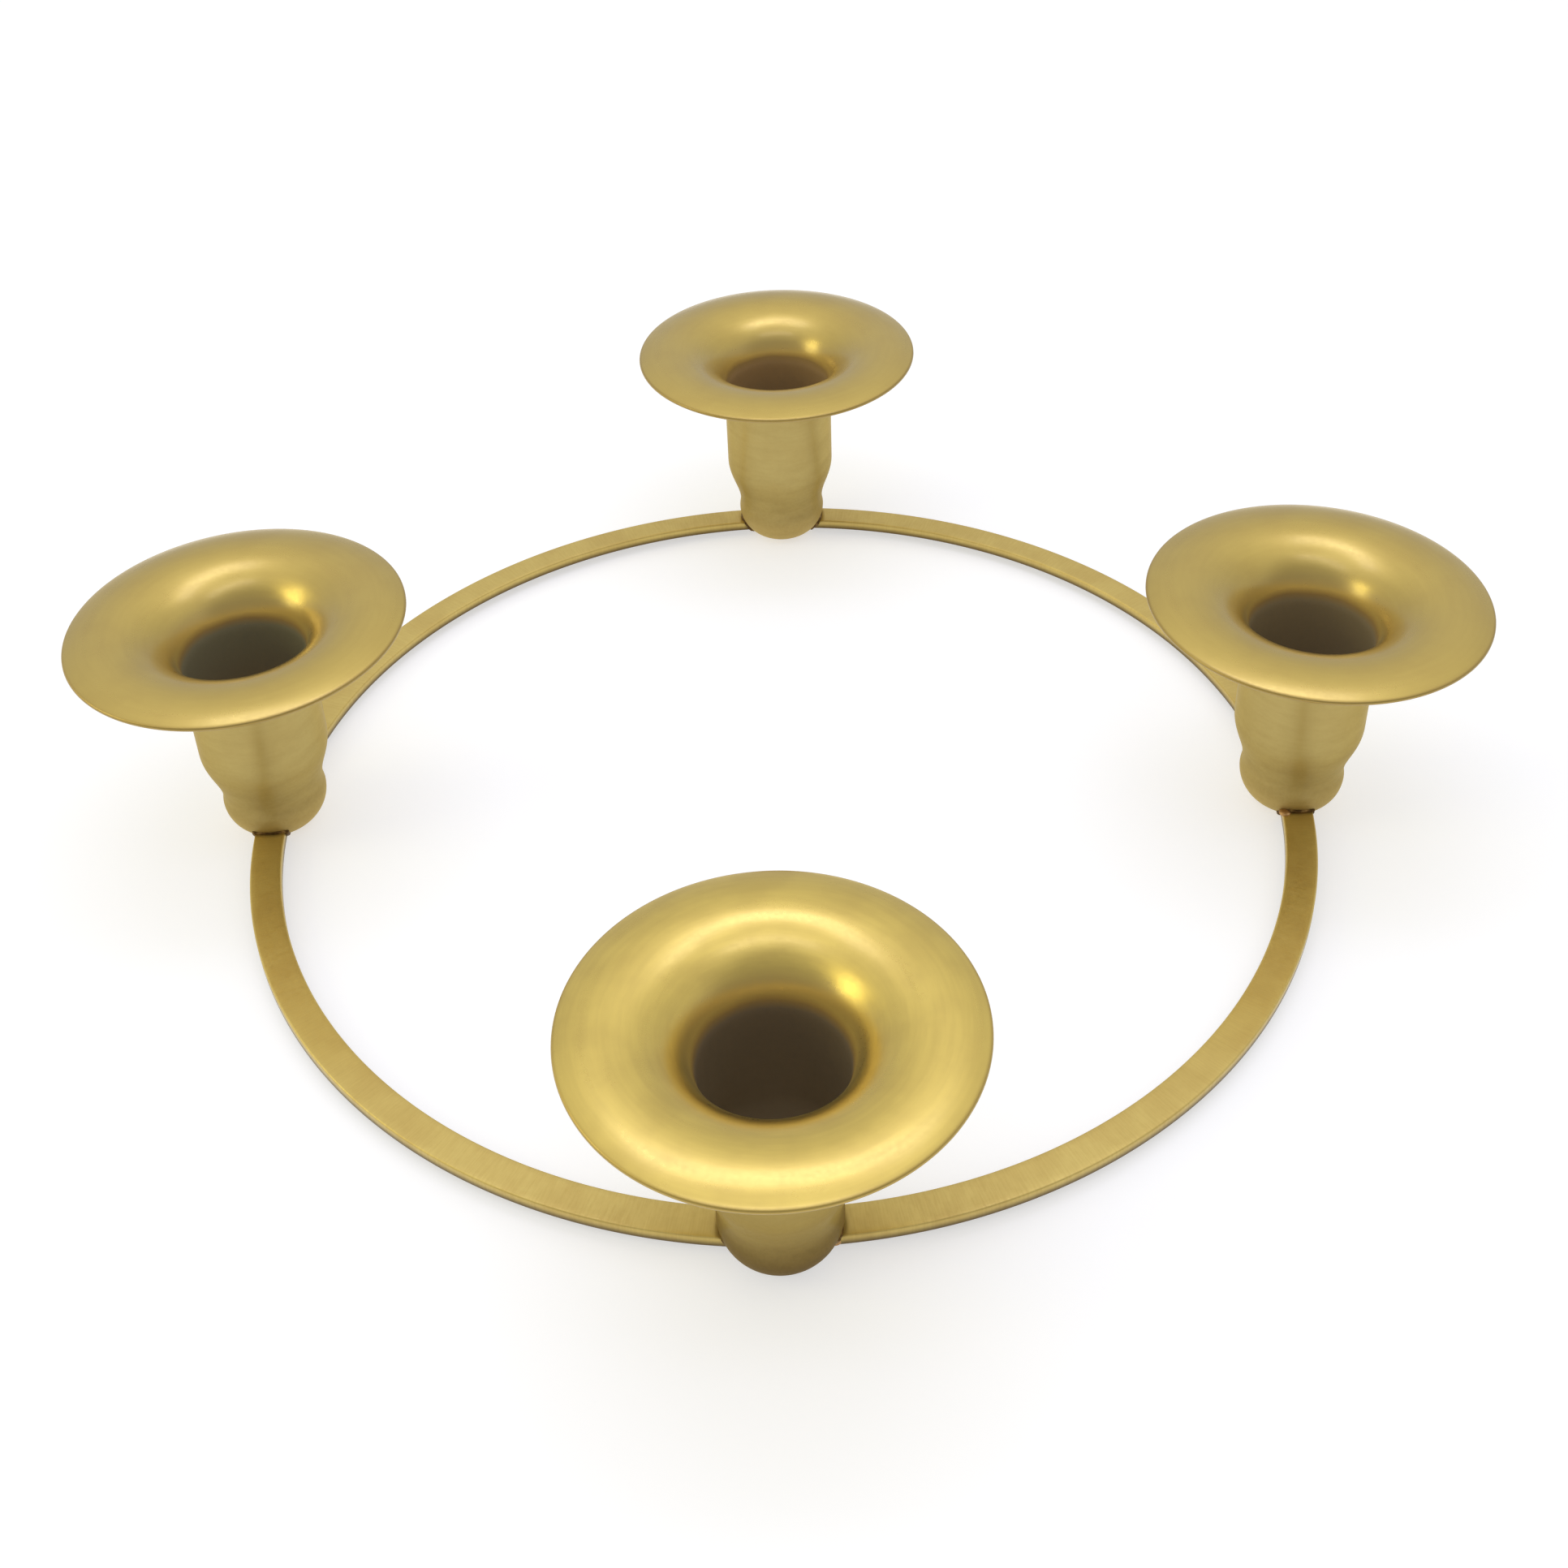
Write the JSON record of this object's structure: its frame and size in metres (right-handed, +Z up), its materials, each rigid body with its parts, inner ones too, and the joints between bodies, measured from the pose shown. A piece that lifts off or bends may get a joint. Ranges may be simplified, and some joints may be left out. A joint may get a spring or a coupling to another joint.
{
  "type": "advent candle holder",
  "caption": "Flat brass ring brazed between candle cups set at equal spacing, each with a drooping drip flange over a straight socket for a taper candle.",
  "frame": {"origin": "centre of the ring, on the surface that the cups' feet stand on", "axes": "+Z up along the ring's axis; a cup stands in each of the directions +X (right), +Y (rear), -X (left) and -Y (front)"},
  "size_m": [0.2604, 0.2604, 0.0494],
  "materials": {
    "cup": "satin, spun with fine circular marks",
    "bar": "satin, brushed across its width",
    "braze": "dull and darkened"
  },
  "bodies": {
    "root": {"cup_front": "cup", "cup_right": "cup", "cup_rear": "cup", "cup_left": "cup", "bar_front_right": "bar", "bar_rear_right": "bar", "bar_rear_left": "bar", "bar_front_left": "bar", "braze_front": "braze", "braze_right": "braze", "braze_rear": "braze", "braze_left": "braze"}
  },
  "joints": []
}
